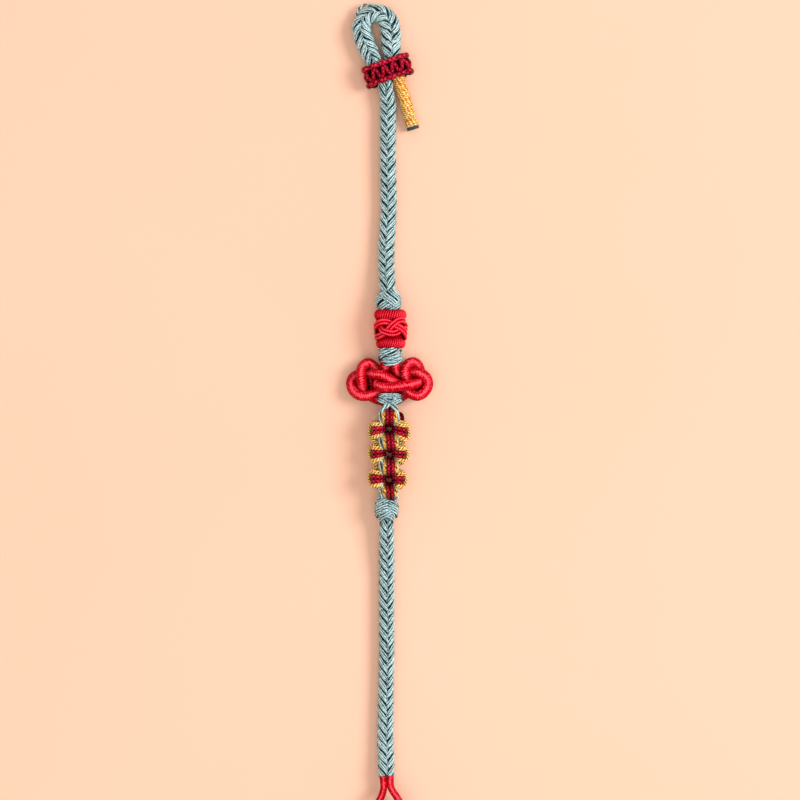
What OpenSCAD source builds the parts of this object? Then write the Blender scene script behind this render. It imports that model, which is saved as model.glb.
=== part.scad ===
/* [Cords] */
// Radius of the thick red cord of the large knot
red_cord_r = 1.1; // [0.8:0.05:1.15]
// Radius of one teal strand in the flower column
strand_r = 0.75; // [0.6:0.05:0.75]
// Thickness of a crimson ribbon, which is one cord thick
ribbon_t = 1.1; // [0.8:0.05:1.15]
// Clearance left between neighbouring pieces
gap = 0.06; // [0.04:0.01:0.1]

/* [Closure] */
// Length of the slider band across the two cords
slider_length = 12.5; // [12:0.1:14]
// Width of the slider band along the cords
slider_width = 5.4; // [4:0.1:6]
// Lean of the slider band
slider_lean = 19.5; // [15:0.5:24]
// Radius of the gold winding on the tail
tail_wrap_r = 1.55; // [1.4:0.05:1.6]
// Radius of the red button knot at the far end
button_r = 5.3; // [4.5:0.1:5.5]

/* [Barrel] */
// Radius of the woven red barrel
barrel_r = 4.45; // [4.2:0.05:4.5]
// Length of the woven red barrel
barrel_length = 4.3; // [3.8:0.1:4.4]
// Radius of the upper red roll
top_ring_r = 4.1; // [3.6:0.1:4.4]
// Radius of the lower red roll
bottom_ring_r = 3.75; // [3.4:0.05:4.2]

/* [Flower column] */
// Distance from one cross to the next
cross_pitch = 6.35; // [6.2:0.05:6.6]
// Half the thickness of the column from front to back
column_half = 4.7; // [4.5:0.1:4.7]
// Width of a ribbon with its two gold edges
ribbon_w = 3.8; // [3.4:0.1:4.1]
// Radius of the collar knot below the column
collar_r = 3.05; // [2.8:0.05:3.2]

/* [Hidden] */

$fn = 64;
teal = "#8fb3b2";
dark_teal = "#3f5f63";
red = "#d6122f";
crimson = "#96122f";
gold = "#e5b34a";

// Facets round a thin cord and round the braid
cord_sides = 8;
braid_sides = 12;

// Heights of the axes above the surface that the bracelet lies on
barrel_z = barrel_r;
column_z = column_half + 0.03;
slider_z = 3.25;
collar_z = 4.3;
upper_knot_z = 4.1;

// Where the pieces stand across the bracelet and along it
upper_knot_x = -0.1;
barrel_x = 0.4;
collar_x = -0.6;
weave_y = 23.4;
middle_knot_at = [0.33, 16.85, 4.4];
lower_knot_at = [0.25, 6, 5.5];
slider_at = [-0.35, 88, slider_z];
button_at = [0, -99.7, button_r];
tail_from = [2.4, 86.2, 3.1];
tail_to = [5.85, 74.3, 1.65];
tail_core_r = 1.1;

// Radius of the lower knot's roll, and of the cord in the button knot
lower_knot_r = 1.6;
button_cord_r = 1.25;

// The bore through the barrel, filled by the teal strands of the knots beside it
barrel_bore_r = 2.6;

// Route of the loop braid: x, y, z of its centre line and its radius there.
// It runs from the upper knot through the slider, round the loop and back to the tail.
loop_route = [
  [-0.3, 33.75, 3.95, 2.0], [-0.4, 35, 3.8, 2.0], [-0.6, 38, 3.1, 2.0], [-0.7, 42, 2.3, 2.0], [-0.5, 47, 2.0, 2.0],
  [-0.1, 53, 2.0, 2.0], [-0.2, 60, 2.0, 2.0], [-0.3, 67, 2.0, 2.0], [-0.3, 74, 2.0, 2.0],
  [-0.2, 79, 2.3, 2.0], [-0.6, 82.5, 3.0, 1.85], [-1.1, 85, 3.25, 1.8], [-2.4, 87.6, 3.25, 1.8],
  [-3.8, 90.3, 3.2, 1.9], [-5.0, 93, 2.8, 2.1], [-6.3, 95.8, 2.45, 2.2], [-7.1, 98.6, 2.3, 2.3],
  [-6.4, 101.1, 2.3, 2.3], [-4.6, 102.5, 2.3, 2.3], [-2.4, 102.5, 2.3, 2.3], [-0.5, 101.1, 2.3, 2.3],
  [0.4, 98.6, 2.3, 2.3], [0.5, 95.8, 2.5, 2.2], [0.7, 93, 3.0, 2.0], [0.8, 91, 3.25, 1.8],
  [1.4, 88.6, 3.25, 1.7], [2.1, 86.8, 3.2, 1.2], [2.7, 85.1, 3.0, 1.1], [4.1, 80.3, 2.4, 1.1],
  [5.8, 74.6, 1.7, 1.1]
];

// Route of the lower braid, from the collar knot to the red neck
lower_route = [
  [-0.6, -24.75, 3.95, 1.7], [-0.6, -28, 3.6, 1.85], [-0.6, -33, 2.8, 1.9], [-0.6, -38, 2.15, 1.9],
  [-0.6, -43, 1.95, 1.9], [-0.6, -50, 1.9, 1.9], [-0.6, -57, 1.9, 1.9], [-0.7, -64, 1.9, 1.9],
  [-0.8, -71, 1.95, 1.95], [-0.9, -78, 2.1, 2.0], [-0.8, -83, 2.5, 2.05], [-0.65, -88.2, 3.4, 1.9]
];

// Route of the thick red cord: one cord that starts and ends in the teal knot above
cloud_route = [
  [-0.9, 16.2, 4.2], [-0.9, 15, 4.1], [-1, 13.9, 3.3], [-1.7, 13.2, 2.1], [-2.8, 13.3, 1.4],
  [-3.7, 14, 1.6], [-4.6, 14.8, 2.3], [-5.6, 14.9, 3.2], [-6.7, 13.9, 4.1], [-7, 12.3, 4.7],
  [-6.9, 10.8, 4.6], [-6.7, 9.4, 3.4], [-6.2, 8.2, 2], [-5.2, 7.1, 1.2],
  [-3.6, 6.2, 1.2], [-1.4, 5.6, 1.2], [1.4, 5.7, 1.2], [3.4, 6.8, 1.2], [4.9, 8.1, 1.2],
  [5.3, 9.3, 1.6], [4.8, 10.4, 3],
  [4.2, 11.7, 4.1], [4.1, 13.4, 4.3], [4.9, 14.8, 3.7], [6.2, 15.2, 2.8], [7.3, 14.3, 1.8],
  [7.8, 12.8, 1.2], [7.7, 11.3, 1.7],
  [7.2, 10.2, 3.4], [6.2, 9.8, 5.2], [4.4, 9.4, 6.4], [0.9, 8.95, 6.4], [-1.4, 9, 5.9],
  [-2.7, 9.4, 4.9], [-2.8, 10.1, 3.5], [-1.9, 10.7, 2.2], [-0.6, 10.8, 1.4], [0.1, 9.7, 1.2],
  [-0.5, 8.5, 1.3], [-1.9, 8.1, 2.1],
  [-3.4, 7.5, 3.5], [-5, 6.9, 4.4], [-7, 6.8, 4.3], [-8.8, 7.9, 3.4], [-9.5, 9.8, 2.4],
  [-8.9, 11.4, 1.5], [-7.2, 12.2, 1.3], [-5.3, 12.3, 2.3],
  [-3.7, 12.2, 4.2], [-1.9, 11.9, 5.2], [-0.3, 11.3, 4.8], [1.1, 10.3, 4], [2.8, 9.4, 3.7],
  [4.2, 8.3, 3.9], [5.6, 7.2, 4.2], [7.3, 6.8, 4],
  [8.9, 7.8, 3.4], [9.8, 9.6, 3.1], [9.3, 11.4, 3.8], [7.8, 12.5, 4.3], [6.3, 12.7, 3.3],
  [5.2, 12.7, 2], [4, 12.5, 1.2], [2.8, 12.2, 1.7],
  [2, 12.9, 3.1], [1.6, 14.5, 4.2], [1.6, 16.2, 4.3]
];

// Crosses of the column: height of the hole, and how far the left and right ribbons reach
cross_y = 0;
petal_left_end = 1;
petal_right_end = 2;
crosses = [[-1.5, 4.05, 3.75], [-1.5 - cross_pitch, 4.1, 3.6], [-1.5 - 2 * cross_pitch, 3.8, 3.45]];
column_x = 0;
column_hole = 0.45;
petal_half = 3.95;

// Distance of the teal strands from the column's middle, on the left and on the right
strand_x = [2, 1.85];
strand_z = 1.9;
strand_y = -18.4;

// The bars in front and at the back, between the crosses and beyond them, and those at the sides
bar_chord = [for (i = [0:3]) cross_pitch - 2 * column_hole - (i == 3 ? 0.75 : 0)];
bar_y = [for (i = [0:3]) crosses[0][cross_y] + (1 - i) * cross_pitch - column_hole - bar_chord[i] / 2];
bar_bow = 1;
side_bar_chord = 5.6;
side_bar_bow = 0.8;
side_bar_w = 3.6;
side_bar_t = 0.7;

function unit(v) = v / norm(v);
function place(p) = [p[0], p[1], p[2]];

// A smooth curve through the points of a route
function between(p, i, t) =
  let (last = len(p) - 1,
       a = i > 0 ? p[i - 1] : 2 * p[0] - p[1],
       b = p[i],
       c = p[i + 1],
       d = i + 2 <= last ? p[i + 2] : 2 * p[last] - p[last - 1])
  0.5 * (2 * b + (c - a) * t + (2 * a - 5 * b + 4 * c - d) * t * t
         + (3 * b - a - 3 * c + d) * t * t * t);
function smooth_route(p, steps) = [
  for (i = [0:len(p) - 2]) for (k = [0:steps - 1]) between(p, i, k / steps),
  p[len(p) - 1]
];
function heading(path, i) =
  unit(place(path[min(i + 1, len(path) - 1)]) - place(path[max(i - 1, 0)]));

// The sideways direction of each ring, carried along the route without twist
function square_to(side, way) = unit(side - way * (side * way));
function side_ways(path) = [
  for (i = 0, side = unit(cross(heading(path, 0), [0, 0, 1]));
       i < len(path);
       i = i + 1, side = i < len(path) ? square_to(side, heading(path, i)) : side)
  side
];

// A solid cord along a route, of one radius or of the radius given with each point
module cord_solid(route, steps, sides, radius = 0) {
  path = smooth_route(route, steps);
  across = side_ways(path);
  rings = len(path);
  corners = [
    for (i = [0:rings - 1])
      let (up = cross(across[i], heading(path, i)), r = radius > 0 ? radius : path[i][3])
      for (k = [0:sides - 1])
        place(path[i]) + r * (cos(360 * k / sides) * across[i] + sin(360 * k / sides) * up)
  ];
  walls = [
    for (i = [0:rings - 2]) for (k = [0:sides - 1])
      let (a = i * sides + k, b = i * sides + (k + 1) % sides)
      each [[a, b, a + sides], [b, b + sides, a + sides]]
  ];
  first_end = [for (k = [0:sides - 1]) sides - 1 - k];
  last_end = [for (k = [0:sides - 1]) (rings - 1) * sides + k];
  polyhedron(corners, concat(walls, [first_end, last_end]));
}

// Places its children with their Z axis along the bracelet
module along(at) translate(at) rotate([-90, 0, 0]) children();

// Points of an outline that bows out from r_end to r_mid over the given half length
function bulge_outline(half_length, r_end, r_mid) =
  let (bulge = r_mid - r_end,
       arc_r = (half_length * half_length + bulge * bulge) / (2 * bulge),
       reach = asin(half_length / arc_r))
  [for (k = [-6:6]) [r_mid - arc_r + arc_r * cos(k * reach / 6), arc_r * sin(k * reach / 6)]];

// A solid turned round the Z axis from an outline of radius and height
module turned(outline)
  rotate_extrude() polygon(concat([[0, outline[0][1]]], outline, [[0, outline[len(outline) - 1][1]]]));

// Places its children at a point with their Z axis along the given way
module facing(at, way)
  translate(at) rotate([0, acos(way[2] / norm(way)), atan2(way[1], way[0])]) children();

// A straight round rod from one point to another
module rod(from, to, r) facing(from, to - from) cylinder(h = norm(to - from), r = r);
function toward(from, to, distance) = from + distance * unit(to - from);
function beyond(from, to) = toward(to, from, -1);

// A flat box in the XZ plane from x0 to x1 and half_z each way, with round corners
module rounded_box(x0, x1, half_z, corner_r) {
  r = min(corner_r, (x1 - x0) / 2 - 0.01);
  translate([x0, r - half_z]) square([x1 - x0, 2 * (half_z - r)]);
  translate([x0 + r, -half_z]) square([x1 - x0 - 2 * r, 2 * half_z]);
  for (x = [x0 + r, x1 - r], z = [r - half_z, half_z - r]) translate([x, z]) circle(r);
}

// A round cord bent into a ring round the Z axis
module ring_cord(ring_r, cord_r) rotate_extrude() translate([ring_r, 0]) circle(cord_r);

module loop_braid() color(teal) cord_solid(loop_route, 2, braid_sides);

module lower_braid() color(teal) cord_solid(lower_route, 2, braid_sides);

// The slider: a band of crimson knots round both cords, with a rounded outer face
module slider_band() {
  half_thick = slider_z - 0.05;
  straight = slider_length / 2 - half_thick;
  outline = bulge_outline(slider_width / 2, half_thick - 0.6, half_thick);
  hole_r = half_thick - ribbon_t;
  color(crimson) translate(slider_at) rotate([-90, 0, slider_lean])
    difference() {
      union() {
        for (side = [-1, 1]) translate([side * straight, 0, 0]) turned(outline);
        translate([-straight, 0, 0]) rotate([90, 0, 90]) linear_extrude(2 * straight)
          polygon(concat(outline, [for (p = outline) -p]));
      }
      translate([0, 0, -slider_width]) linear_extrude(2 * slider_width) {
        for (side = [-1, 1]) translate([side * straight, 0]) circle(hole_r);
        square([2 * straight, 2 * hole_r], center = true);
      }
    }
}

// The fine gold winding round the end of the braid, open along its middle
module tail_wrap() color(gold) difference() {
  rod(tail_from, tail_to, tail_wrap_r);
  rod(beyond(tail_to, tail_from), beyond(tail_from, tail_to), tail_core_r + 0.15);
}

// The sealed end of the braid, which shows past the gold winding
module tail_tip()
  color(dark_teal) facing(toward(tail_to, tail_from, -gap), tail_to - tail_from)
    turned([[tail_wrap_r - 0.1, 0], [tail_wrap_r - 0.1, 0.6], [tail_wrap_r - 0.35, 0.9], [tail_wrap_r - 0.8, 1]]);

// Upper teal knot, with the strands that go on into the barrel
module upper_knot() color(teal) {
  along([upper_knot_x, 0, upper_knot_z])
    turned([[2.7, 28.35], [3, 28.7], [3.15, 29.6], [3.05, 30.6], [2.75, 31.6], [2.3, 32.7], [2.05, 33.5]]);
  along([upper_knot_x, 30.5, upper_knot_z])
    for (tilt = [-28, 28]) rotate([0, tilt, 0]) ring_cord(2.3, 0.85);
  rod([barrel_x, weave_y + gap, barrel_z], [barrel_x, 28.5, barrel_z], barrel_bore_r - 0.12);
}

// A roll of the barrel, open in the middle
module barrel_roll(x, y, half_length, r_end, r_mid)
  color(red) along([x, y, barrel_z]) difference() {
    turned(bulge_outline(half_length, r_end, r_mid));
    cylinder(h = 4 * half_length, r = barrel_bore_r, center = true);
  }
module barrel_top_ring() barrel_roll(0.33, 26.97, 1.27, top_ring_r - 0.75, top_ring_r);
module barrel_weave() barrel_roll(0.43, weave_y, barrel_length / 2, barrel_r - 0.5, barrel_r);
module barrel_bottom_ring() barrel_roll(0.45, 19.87, 1.2, bottom_ring_r - 0.7, bottom_ring_r);

// Middle teal knot, with the strands that go up into the barrel and sockets for the red cord
module middle_knot() color(teal) difference() {
  union() {
    along(middle_knot_at) turned(bulge_outline(2, 2.1, 3.15));
    rod([barrel_x, 17, barrel_z], [barrel_x, weave_y - gap, barrel_z], barrel_bore_r - 0.12);
  }
  last = len(cloud_route) - 1;
  for (pair = [[0, 1], [last, last - 1]])
    let (end = cloud_route[pair[0]], next = cloud_route[pair[1]])
      rod(toward(end, next, -0.2), toward(end, next, 3), red_cord_r + 0.35);
}

module cloud_knot() color(red) cord_solid(cloud_route, 2, cord_sides, red_cord_r);

// Lower teal knot: a roll across the bracelet, from which the four strands of the column come
module lower_knot()
  color(teal) translate(lower_knot_at) rotate([0, 90, 0]) turned(bulge_outline(2.6, 0.7, lower_knot_r));

// One teal strand, from the lower knot down a corner of the column: side -1 is left, face 1 is front
module strand(side, face) {
  z = column_z + face * strand_z;
  out = lower_knot_r + 0.7;
  x = column_x + side * (side < 0 ? strand_x[0] : strand_x[1]);
  color(teal) cord_solid([
      lower_knot_at + [side * 0.7, -out * cos(20), face * out * sin(20)],
      [column_x + side * 1.27 + 0.05, 3.45, column_z + 0.3 + face * 1.3],
      [x, 1.8, z],
      [x, -3, z],
      [x, -12, z],
      [x, strand_y, z]
    ], 2, cord_sides, strand_r);
}

// A ribbon that loops round the two strands of one side and turns in through the hole
module petal(i, side) {
  half_w = ribbon_w / 2;
  end_x = side < 0 ? crosses[i][petal_left_end] : crosses[i][petal_right_end];
  color(crimson) translate([column_x, crosses[i][cross_y], column_z]) mirror([side < 0 ? 1 : 0, 0, 0])
    intersection() {
      rotate([90, 0, 0]) linear_extrude(ribbon_w, center = true) difference() {
        rounded_box(column_hole, end_x, petal_half, 1.3);
        rounded_box(column_hole + 0.6, end_x - 0.8, petal_half - ribbon_t, 0.8);
      }
      linear_extrude(3 * petal_half, center = true)
        polygon([[column_hole, 0.1], [half_w + gap, half_w], [end_x - 0.85, half_w], [end_x, 1.2],
                 [end_x, -1.2], [end_x - 0.85, -half_w], [half_w + gap, -half_w], [column_hole, -0.1]]);
    }
}

// A bowed ribbon that lies on the XY plane with its length along Y
module bowed_ribbon(chord, bow, width, thick) {
  arc_r = (chord * chord / 4 + bow * bow) / (2 * bow);
  reach = asin(chord / 2 / arc_r);
  translate([0, 0, bow - arc_r]) rotate([0, 90, 0]) rotate([0, 0, 180 - reach])
    rotate_extrude(angle = 2 * reach) translate([arc_r - thick, -width / 2]) square([thick, width]);
}

// A bar between two crosses, pointed at both ends where it turns into the holes
module bar(i, face) {
  half_w = ribbon_w / 2;
  tip = bar_chord[i] / 2;
  color(crimson) translate([column_x, bar_y[i], column_z]) mirror([0, 0, face < 0 ? 1 : 0])
    intersection() {
      translate([0, 0, column_half - bar_bow]) bowed_ribbon(bar_chord[i], bar_bow, ribbon_w, ribbon_t);
      linear_extrude(3 * column_half, center = true)
        polygon([[0.1, tip], [half_w, tip - half_w + 0.45], [half_w, half_w - tip - 0.45], [0.1, -tip],
                 [-0.1, -tip], [-half_w, half_w - tip - 0.45], [-half_w, tip - half_w + 0.45], [-0.1, tip]]);
    }
}

// A bar down one side of the column, over the ends of a pair of ribbons
module side_bar(i, side) {
  end_x = side < 0 ? crosses[i][petal_left_end] : crosses[i][petal_right_end];
  color(gold) translate([column_x + side * (end_x + 0.2 + side_bar_t - side_bar_bow), crosses[i][cross_y], column_z])
    rotate([0, side * 90, 0]) bowed_ribbon(side_bar_chord, side_bar_bow, side_bar_w, side_bar_t);
}

// Teal knot that gathers the strands below the column
module collar_knot() color(teal) {
  along([collar_x, 0, collar_z])
    turned([[1.75, -24.5], [2.15, -23.8], [2.7, -22.9], [collar_r, -21.8], [collar_r, -20.9],
            [2.8, -19.6], [2.4, -18.5]]);
  along([collar_x, -21.7, collar_z]) for (tilt = [-30, 30]) rotate([0, tilt, 0]) ring_cord(collar_r - 0.8, 0.85);
}

// Two red cords that leave the braid side by side, and the button knot that they are tied into
module end_button() color(red) {
  for (side = [-1, 1])
    cord_solid([
        [-0.6 + side * 0.9, -88.5, 3.5], [-0.4 + side * 0.9, -91, 4], [side * 1.9, -93.2, 4.7],
        [side * 3, -95.2, button_r], [side * 3.3, -97.5, button_r]
      ], 2, cord_sides, 0.86);
  along(button_at) rotate_extrude() intersection() {
    union() {
      circle(button_r - 0.9);
      for (a = [-68:34:68]) rotate(a) translate([button_r - button_cord_r, 0]) circle(button_cord_r);
    }
    translate([0, -button_r]) square(2 * button_r);
  }
}

loop_braid();
slider_band();
tail_wrap();
tail_tip();
upper_knot();
barrel_top_ring();
barrel_weave();
barrel_bottom_ring();
middle_knot();
cloud_knot();
lower_knot();
strand(-1, 1);  // strand_front_left
strand(1, 1);  // strand_front_right
strand(-1, -1);  // strand_back_left
strand(1, -1);  // strand_back_right
for (i = [0:2]) {
  petal(i, -1);
  petal(i, 1);
  side_bar(i, -1);
  side_bar(i, 1);
}
for (i = [0:3]) {
  bar(i, 1);
  bar(i, -1);
}
collar_knot();
lower_braid();
end_button();
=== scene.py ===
# %% [markdown]
# # A knotted cord bracelet
# This lesson dresses a bracelet that is made of nothing but cord: a teal braid with a loop and a
# sliding band, a red woven barrel, a large red knot and a small column of crimson and gold flowers.
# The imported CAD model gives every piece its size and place, so it is loaded first as a fixed frame.

# %% Load the frame
import random

import bpy
import numpy as np
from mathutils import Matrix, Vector


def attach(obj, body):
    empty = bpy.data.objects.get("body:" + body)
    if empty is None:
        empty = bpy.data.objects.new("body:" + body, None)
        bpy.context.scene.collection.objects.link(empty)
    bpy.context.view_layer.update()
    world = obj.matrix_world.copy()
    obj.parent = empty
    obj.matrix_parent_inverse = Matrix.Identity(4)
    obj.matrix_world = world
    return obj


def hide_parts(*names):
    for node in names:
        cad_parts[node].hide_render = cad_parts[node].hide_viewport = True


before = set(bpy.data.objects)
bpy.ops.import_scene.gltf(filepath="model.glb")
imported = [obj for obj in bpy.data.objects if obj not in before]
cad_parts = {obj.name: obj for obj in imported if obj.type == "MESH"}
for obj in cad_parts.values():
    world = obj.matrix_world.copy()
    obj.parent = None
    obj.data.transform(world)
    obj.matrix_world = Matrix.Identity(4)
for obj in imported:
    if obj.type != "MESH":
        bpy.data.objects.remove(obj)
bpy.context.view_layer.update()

bpy.ops.object.select_all(action="DESELECT")

# %% [markdown]
# ## A camera straight above
# The bracelet was photographed lying flat, from far away and straight above. The photograph is
# 800 pixels wide and a pixel is a quarter of a millimetre, so the frame is 200 mm wide. PHOTO_ZERO
# is the pixel that shows the frame's origin. Working in millimetres keeps the numbers of small
# things readable.

# %% Set the camera
MM = 0.001
PHOTO_PIXELS = 800
MM_PER_PIXEL = 0.25
PHOTO_ZERO = (389, 423)
CAMERA_HEIGHT = 700
OBJECT_MID_HEIGHT = 3
SENSOR = 36
NEAREST_SEEN = 10

frame_width = PHOTO_PIXELS * MM_PER_PIXEL
camera_x = (PHOTO_PIXELS / 2 - PHOTO_ZERO[0]) * MM_PER_PIXEL
camera_y = (PHOTO_ZERO[1] - PHOTO_PIXELS / 2) * MM_PER_PIXEL
bpy.ops.object.camera_add(location=(camera_x * MM, camera_y * MM, (CAMERA_HEIGHT + OBJECT_MID_HEIGHT) * MM))
camera = bpy.context.object
camera.name = "camera"
camera.rotation_euler = (0, 0, 0)
camera.data.sensor_width = SENSOR
camera.data.lens = SENSOR * CAMERA_HEIGHT / frame_width
camera.data.clip_start = NEAREST_SEEN * MM
bpy.context.scene.camera = camera
bpy.context.scene.view_settings.view_transform = "Standard"
print("Lens in mm:", round(camera.data.lens, 1))

# %% [markdown]
# ## Nodes without clutter
# Every finish here is procedural. One short helper adds a shader node and fills its sockets, with
# either a value or a link, so that a material reads as a recipe.

# %% Helpers for materials
def srgb(red, green, blue):
    """A colour given as on a screen, from 0 to 255, as the linear colour that a shader takes."""
    channels = [c / 255 for c in (red, green, blue)]
    return tuple(c / 12.92 if c <= 0.04045 else ((c + 0.055) / 1.055) ** 2.4 for c in channels) + (1,)


def add(tree, kind, sockets=None, **settings):
    """Adds a node, sets its settings, and fills its sockets with values or links."""
    node = tree.nodes.new("ShaderNode" + kind)
    for key, value in settings.items():
        setattr(node, key, value)
    for socket, value in (sockets or {}).items():
        if isinstance(value, bpy.types.NodeSocket):
            tree.links.new(value, node.inputs[socket])
        else:
            node.inputs[socket].default_value = value
    return node


def calc(tree, operation, *values):
    """One step of arithmetic in a material."""
    return add(tree, "Math", dict(enumerate(values)), operation=operation).outputs[0]


def new_material(name):
    """A new material with its nodes and its main shader."""
    material = bpy.data.materials.new(name)
    material.use_nodes = True
    tree = material.node_tree
    return material, tree, tree.nodes["Principled BSDF"]


# %% [markdown]
# ## Cord finishes
# A cord is never one flat colour. Its surface is laid from fine yarns that climb round it, so light
# breaks up into small slanting ribs, and painted shade darkens the colour between them. The ribs
# follow the cord's own UV map, in which U goes once round the cord and V is the length along it in
# millimetres. A loose noise over them stands for uneven dye, and each thread has a slightly different
# shade.

# %% Helper for ribs
FULL_TURN = 2 * np.pi


def yarn_ribs(tree, turns, pitch, crossed):
    """The place round the cord, and its ribs from 0 between them to 1 on top. Crossed ribs lean both
    ways."""
    uv = add(tree, "UVMap", uv_map="UVMap")
    axes = add(tree, "SeparateXYZ", {0: uv.outputs[0]})
    round_cord = calc(tree, "MULTIPLY", axes.outputs[0], turns)
    along_cord = calc(tree, "DIVIDE", axes.outputs[1], pitch)

    def leaning(operation):
        """Ribs that all lean one way."""
        phase = calc(tree, operation, round_cord, along_cord)
        wave = calc(tree, "SINE", calc(tree, "MULTIPLY", phase, FULL_TURN))
        return calc(tree, "MULTIPLY_ADD", wave, 0.5, 0.5)

    height = leaning("ADD")
    if crossed:
        height = calc(tree, "MULTIPLY", calc(tree, "ADD", height, leaning("SUBTRACT")), 0.5)
    return axes.outputs[0], height


# %% [markdown]
# The tone of each point is a sum of layers: the ribs, the fibres' grain, painted light on the cord's
# outer side, a narrow painted highlight along it, the dye and the cord's own shade. A ramp of three
# colours then turns the tone into a colour, and the ribs and the grain also raise the surface a little.

# %% Helper for a cord finish
DYE_SCALE = 420.0
DYE_SHARE = 0.5
FIBRE_HEIGHT = 0.5
HIGHLIGHT_SHARPNESS = 40.0
HIGHLIGHT_BETWEEN_RIBS = 0.4
DARK_AT = 0.12
LIGHT_AT = 0.92


def cord_material(name, dark, body, light, turns, pitch, crossed=True, rib_share=0.3, relief=0.03,
                  crown_light=0.0, ridge_highlight=0.0, grain_share=0.35, grain_scale=5200.0, body_at=0.5, rough=0.5,
                  specular=0.5):
    """A yarn finish in three colours: turns is the ribs round the cord and pitch a rib's climb. The cord's
    outer side gets painted light by its crown, and a narrow line along it a painted highlight by its ridge."""
    material, tree, shader = new_material(name)

    def layered(tone, layer, share):
        """The tone with a layer laid over it, which runs from 0 to 1 and is neutral at a half."""
        return calc(tree, "MULTIPLY_ADD", calc(tree, "SUBTRACT", layer, 0.5), share, tone)

    place_round, height = yarn_ribs(tree, turns, pitch, crossed)
    place = add(tree, "TexCoord").outputs["Object"]
    dye = add(tree, "TexNoise", {"Vector": place, "Scale": DYE_SCALE, "Detail": 3.0}).outputs["Fac"]
    fibre = add(tree, "TexNoise", {"Vector": place, "Scale": grain_scale, "Detail": 2.0}).outputs["Fac"]
    shade = add(tree, "Attribute", attribute_name="shade").outputs["Fac"]

    tone = layered(layered(0.5 - crown_light / 2, height, rib_share), fibre, grain_share)
    # Painted light: the outer side of the cord is lighter, and a narrow painted highlight runs along it.
    facing_out = calc(tree, "SINE", calc(tree, "MULTIPLY", place_round, FULL_TURN))
    tone = calc(tree, "MULTIPLY_ADD", facing_out, crown_light, tone)
    highlight_line = calc(tree, "POWER", calc(tree, "MAXIMUM", facing_out, 0.0), HIGHLIGHT_SHARPNESS)
    lit_ribs = calc(tree, "MULTIPLY", highlight_line, calc(tree, "ADD", height, HIGHLIGHT_BETWEEN_RIBS))
    tone = calc(tree, "MULTIPLY_ADD", lit_ribs, ridge_highlight, tone)
    tone = calc(tree, "ADD", layered(tone, dye, DYE_SHARE), shade)

    ramp = add(tree, "ValToRGB", {"Fac": tone})
    stops = ramp.color_ramp.elements
    stops[0].position, stops[0].color = DARK_AT, srgb(*dark)
    stops[1].position, stops[1].color = LIGHT_AT, srgb(*light)
    stops.new(body_at).color = srgb(*body)
    tree.links.new(ramp.outputs["Color"], shader.inputs["Base Color"])

    grain = calc(tree, "MULTIPLY_ADD", fibre, FIBRE_HEIGHT, height)
    bump = add(tree, "Bump", {"Height": grain, "Distance": relief * MM, "Strength": 1.0})
    tree.links.new(bump.outputs["Normal"], shader.inputs["Normal"])
    shader.inputs["Roughness"].default_value = rough
    shader.inputs["Specular IOR Level"].default_value = specular
    shader.inputs["Specular Tint"].default_value = srgb(*light)
    return material


# %% [markdown]
# The three colours of a finish are the dark between the ribs, the body and the light on the ribs;
# the dark also serves for painted shade and the light for painted highlights. Threads that show have a
# strong grain. The fillings inside the knots are dark and matt, since they only have to close the gaps
# between the threads, and their dark is painted shade.

# %% Mix the cord finishes
TEAL = cord_material("teal_thread", (6, 32, 36), (138, 184, 193), (228, 255, 255), turns=4, pitch=2.2,
                     crossed=False, rib_share=0.5, relief=0.04, crown_light=0.34, ridge_highlight=0.32,
                     grain_share=1.5, grain_scale=2600.0, rough=0.35, specular=0.7)
# Painted shade: the fillings inside braids and knots are dark in place of the shade between threads.
TEAL_SHADE = cord_material("teal_inside_painted_shade", (5, 18, 20), (13, 37, 39), (32, 62, 64), turns=8, pitch=0.6,
                           rough=0.9, specular=0.1)
TEAL_SEALED = cord_material("teal_sealed_end", (18, 30, 32), (54, 66, 68), (120, 130, 132), turns=9,
                            pitch=0.5, rough=0.4)
RED = cord_material("red_cord", (40, 0, 4), (212, 0, 20), (255, 90, 112), turns=3, pitch=0.44,
                    crossed=False, rib_share=0.17, relief=0.012, crown_light=0.22, ridge_highlight=0.46,
                    grain_share=1.1, grain_scale=2600.0, body_at=0.72, specular=0.1)
RED_FINE = cord_material("red_thread", (60, 0, 4), (226, 0, 24), (255, 84, 108), turns=3, pitch=0.5,
                         crossed=False, rib_share=0.2, relief=0.02, crown_light=0.28, ridge_highlight=0.44,
                         grain_share=0.5, grain_scale=3600.0, body_at=0.7, specular=0.12)
# Painted shade: the filling under the red rings, the weave and the button is dark.
RED_SHADE = cord_material("red_inside_painted_shade", (70, 0, 6), (136, 0, 14), (170, 8, 28), turns=8, pitch=0.7,
                          rough=0.9, specular=0.1)
CRIMSON = cord_material("crimson_cord", (26, 0, 4), (138, 4, 24), (218, 52, 82), turns=3, pitch=0.8,
                        rib_share=0.56, relief=0.06, crown_light=0.2, ridge_highlight=0.14, grain_share=1.1,
                        grain_scale=3600.0, rough=0.45, specular=0.3)
# Painted shade: the slider's core cords are dark in place of the shade under its knots.
CRIMSON_SHADE = cord_material("crimson_inside_painted_shade", (12, 0, 3), (36, 0, 8), (70, 2, 18), turns=6,
                              pitch=0.7, rough=0.9, specular=0.1)
GOLD = cord_material("gold_thread", (112, 38, 0), (247, 156, 6), (255, 250, 164), turns=2, pitch=0.5,
                     crossed=False, rib_share=0.5, relief=0.04, crown_light=0.5, ridge_highlight=0.5, grain_share=1.1,
                     grain_scale=2800.0, rough=0.3)
GOLD_BINDING = cord_material("gold_binding", (196, 92, 0), (240, 175, 22), (255, 252, 196), turns=1,
                             pitch=0.9, rib_share=0.5, relief=0.04, crown_light=0.2, grain_share=2.4,
                             grain_scale=2200.0, rough=0.3, specular=0.8)
print("Cord finishes:", len(bpy.data.materials))

# %% [markdown]
# ## Paper
# The bracelet lies on plain pale peach paper, whose tone wanders a little and whose tooth is a very
# low bump.

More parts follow.
